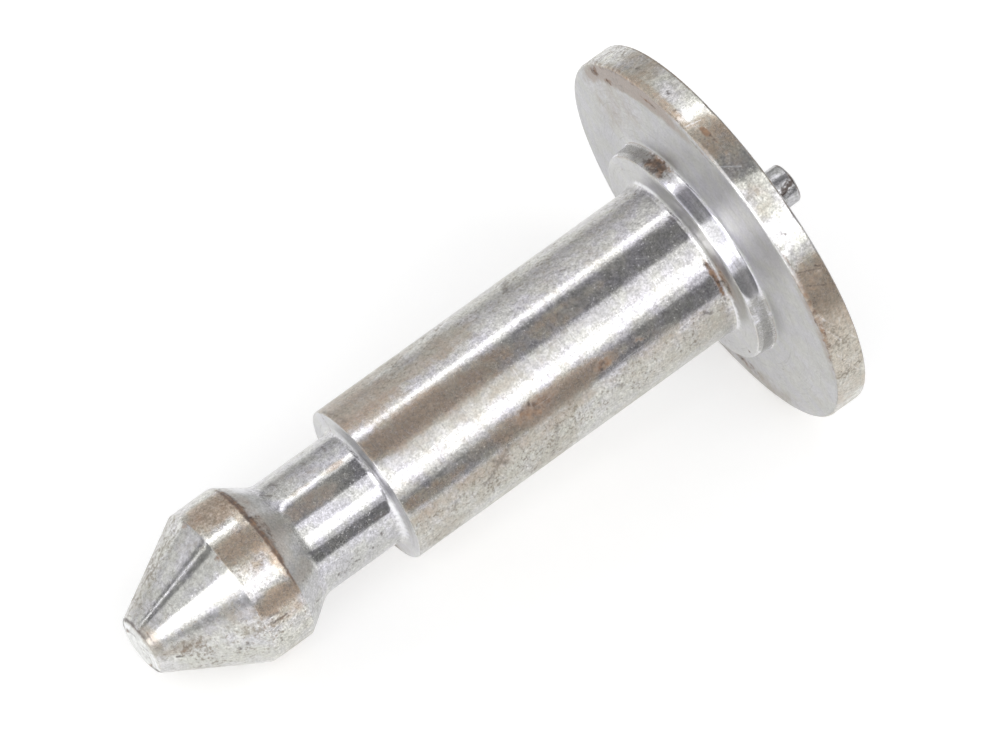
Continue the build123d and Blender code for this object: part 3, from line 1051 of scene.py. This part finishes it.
def makeSteel(name, look):
    material, tree, shader = newMaterial(name)
    place = useGroup(tree, pinPlace, addNode(tree, "TexCoord").outputs["Object"])["Place"]
    paint = addNode(tree, "VertexColor", layer_name="wearAndShadePaint").outputs
    parts = addNode(tree, "SeparateColor", {"Color": paint["Color"]}).outputs
    rustPaint, filmAndShadePaint, pitPaint = parts
    dullPaint = paint["Alpha"]
    broad = clouds(tree, place, *look["broad"])
    marks = useGroup(tree, turningMarks, place, Spacing=look["markSpacing"])["Marks"]
    lines = useGroup(tree, scratches, place, Amount=look["scratches"])["Scratches"]
    inputs = {"Paint": pitPaint, "Size": look["pitSize"], "Cover": look["pitCover"]}
    pits = useGroup(tree, pitting, place, **inputs)
    steel = bareSteel(tree, place, look, broad, pits)
    inputs = {"Paint": filmAndShadePaint, "Everywhere": look["film"], "Brown": shade(look["filmAndShadeTone"])}
    film = useGroup(tree, brownFilmAndShade, place, Steel=steel, **inputs)

    color = stain(tree, look, "dull", dullPaint, film["Color"])
    color = stain(tree, look, "ring", fade(tree, marks, *look["ringRange"]), color)
    color = stain(tree, look, "pit", pits["Pits"], color)
    speckle = plus(tree, 1.0, centred(tree, pits["Grain"]), look["speckle"])
    blotches = -look["blotches"] * look["speckle"]
    speckle = plus(tree, speckle, centred(tree, pits["Mottle"]), blotches)
    color = vector(tree, "SCALE", color, speckle)
    rusty = useGroup(tree, rust, place, Paint=rustPaint, Steel=color)
    # dark and light marks: real spots, rust lines and scratches, together with painted shade, dark
    # reflections and highlights
    dark = addMarks(tree, place, look, "dark")
    light = addMarks(tree, place, look, "light")
    color = stain(tree, look, "scratch", lines, rusty["Color"])
    color = blend(tree, dark, color, shade(look["darkTone"]))
    color = blend(tree, light, color, shade(look["lightTone"]))
    feed(tree, shader.inputs["Base Color"], color)

    layers = {
        "film": film["Film"], "broad": centred(tree, broad), "mark": marks, "grain": pits["Grain"],
        "pit": pits["Pits"], "nick": pits["Nicks"], "dull": dullPaint, "scratch": lines,
        "dark": dark, "rust": rusty["Rust"],
    }
    levels = {"Roughness": look["roughness"], "Metallic": 1.0, "Height": 0.0}
    for kind, level in levels.items():
        for layer, value in layers.items():
            if layer + kind in look:
                level = plus(tree, level, value, look[layer + kind], clamp=kind != "Height")
        levels[kind] = level
    feed(tree, shader.inputs["Roughness"], levels["Roughness"])
    feed(tree, shader.inputs["Metallic"], levels["Metallic"])

    inputs = {"Height": levels["Height"], "Strength": 1.0, "Distance": mm}
    bump = addNode(tree, "Bump", inputs)
    feed(tree, shader.inputs["Normal"], bump.outputs[0])

    shader.inputs["Anisotropic"].default_value = look["turned"]
    along = addNode(tree, "Tangent", direction_type="UV_MAP", uv_map="pinUnrolled")
    feed(tree, shader.inputs["Tangent"], along.outputs[0])
    return material


for name, look in bodyFinishes.items():
    body.data.materials.append(makeSteel(name, look))
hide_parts("seat_pin")
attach(body, "root")
print("finishes made:", ", ".join(bodyFinishes))

# Floor
floorLook = {"size": 3, "paper": (0.8, 0.8, 0.8, 1), "glow": 0.37}


def addFloor(look):
    deselectAll()
    bpy.ops.mesh.primitive_plane_add(size=look["size"], location=(0, 0, 0))
    floor = bpy.context.object
    floor.name = "studioFloor"
    paint, tree, shader = newMaterial("palePaper")
    tree.nodes.remove(shader)
    paper = addNode(tree, "BsdfDiffuse", {"Color": look["paper"]})
    path = addNode(tree, "LightPath").outputs
    seen = calc(tree, "MAXIMUM", path["Is Camera Ray"], path["Is Glossy Ray"])
    seen = calc(tree, "MAXIMUM", seen, path["Is Transmission Ray"])
    glow = addNode(tree, "Emission", {"Strength": times(tree, seen, look["glow"])})
    both = addNode(tree, "AddShader")
    tree.links.new(paper.outputs[0], both.inputs[0])
    tree.links.new(glow.outputs[0], both.inputs[1])
    tree.links.new(both.outputs[0], tree.nodes["Material Output"].inputs["Surface"])
    floor.data.materials.append(paint)


addFloor(floorLook)

# Softboxes and grey cards stand parallel to the pin: degrees around it, from straight up, and
# along it, from square on towards the flange, then distance, and the light's level or card's tone
softboxes = {
    "frontBoxNear": ((44, 57), (-24, 42), 0.8, 2),
    "frontBoxRim": ((57, 63), (-24, 42), 0.8, 1.7),
    "frontBoxEdge": ((63, 73.5), (-24, 42), 0.8, 0.62),
    "frontBoxFar": ((16, 48), (-72, -24), 0.8, 2),
    "frontFill": ((19, 44), (-24, 46), 0.8, 1.04),
    "farFill": ((48, 57), (-70, -26), 0.8, 0.75),
    "backStripNear": ((-31.5, -25.5), (-20, 44), 0.8, 2.1),
    "backStripEdge": ((-25.5, -19), (-20, 44), 0.8, 0.8),
    "backStripFar": ((-37.4, -34.9), (-62, -24), 0.7, 2.1),
}
greyCards = {  # only reflections see them
    "frontCard": ((75, 107), (-20, 55), 0.11, 0.3),
    "noseCard": ((64, 100), (-68, -26), 0.3, 0.66),
    "stripCasing": ((-46, -21.5), (-62, -26), 0.75, 0.3),
}


def parallelPlace(around, along, distance):
    # place, turn, length and width of a panel that faces the pin
    middle = math.radians(sum(around) / 2)
    width = 2 * distance * math.tan(math.radians(around[1] - around[0]) / 2)
    start, end = (distance * math.tan(math.radians(a)) for a in along)
    outwards = pinUp * math.cos(middle) + pinFront * math.sin(middle)
    place = shoulderPlace + outwards * distance + pinAxis * (start + end) / 2
    turn = Matrix((pinAxis, outwards.cross(pinAxis), outwards)).transposed().to_euler()
    return place, turn, end - start, width


def addSoftbox(name, around, along, distance, level):
    place, turn, length, width = parallelPlace(around, along, distance)
    bpy.ops.object.light_add(type="AREA", location=place, rotation=turn)
    lamp = bpy.context.object
    lamp.name = name
    lamp.data.shape = "RECTANGLE"
    lamp.data.size, lamp.data.size_y = length, width
    lamp.data.energy = level * math.pi * length * width
    lamp.visible_camera = False


def addCard(name, around, along, distance, tone):
    place, turn, length, width = parallelPlace(around, along, distance)
    deselectAll()
    bpy.ops.mesh.primitive_plane_add(size=1, location=place, rotation=turn)
    card = bpy.context.object
    card.name = name
    card.scale = (length, width, 1)
    card.visible_camera = card.visible_diffuse = card.visible_shadow = False
    felt, _, shader = newMaterial(name + "Felt")
    shader.inputs["Base Color"].default_value = (tone, tone, tone, 1)
    shader.inputs["Roughness"].default_value = 1
    card.data.materials.append(felt)


for name, panel in softboxes.items():
    addSoftbox(name, *panel)
for name, panel in greyCards.items():
    addCard(name, *panel)

# The room around: a dim ceiling, a back wall that is paler higher up, and sides beyond the pin's
# ends. A range is where a side starts and is full: 0 is square to it and 1 straight at it
roomLook = {
    "ceiling": 0.26,
    "backWall": 0.22, "backRange": (0.36, 0.56), "backRise": 0.5, "riseRange": (0, 0.9),
    "noseSide": 0.6, "noseRange": (0.2, 0.5),
    "flangeSide": 0.22, "flangeRange": (0.36, 0.6),
}


def facing(tree, direction, start, end):
    place = tree.nodes["skyPlace"].outputs["Generated"]
    return fade(tree, vector(tree, "DOT_PRODUCT", place, direction, "Value"), start, end)


def addRoom(look):
    world = bpy.data.worlds.new("room")
    scene.world = world
    world.use_nodes = True
    tree = world.node_tree
    addNode(tree, "TexCoord", name="skyPlace")
    up = facing(tree, (0, 0, 1), *look["riseRange"])
    back = facing(tree, (0, 1, 0), *look["backRange"])
    nose = facing(tree, towardsNose, *look["noseRange"])
    flange = facing(tree, pinAxis, *look["flangeRange"])
    wall = times(tree, back, plus(tree, look["backWall"], up, look["backRise"]))
    side = times(tree, nose, look["noseSide"])
    side = plus(tree, side, flange, look["flangeSide"])
    level = calc(tree, "ADD", look["ceiling"], calc(tree, "MAXIMUM", wall, side))
    feed(tree, tree.nodes["Background"].inputs["Color"], (1, 1, 1, 1))
    feed(tree, tree.nodes["Background"].inputs["Strength"], level)


addRoom(roomLook)
print("floor and lights set")
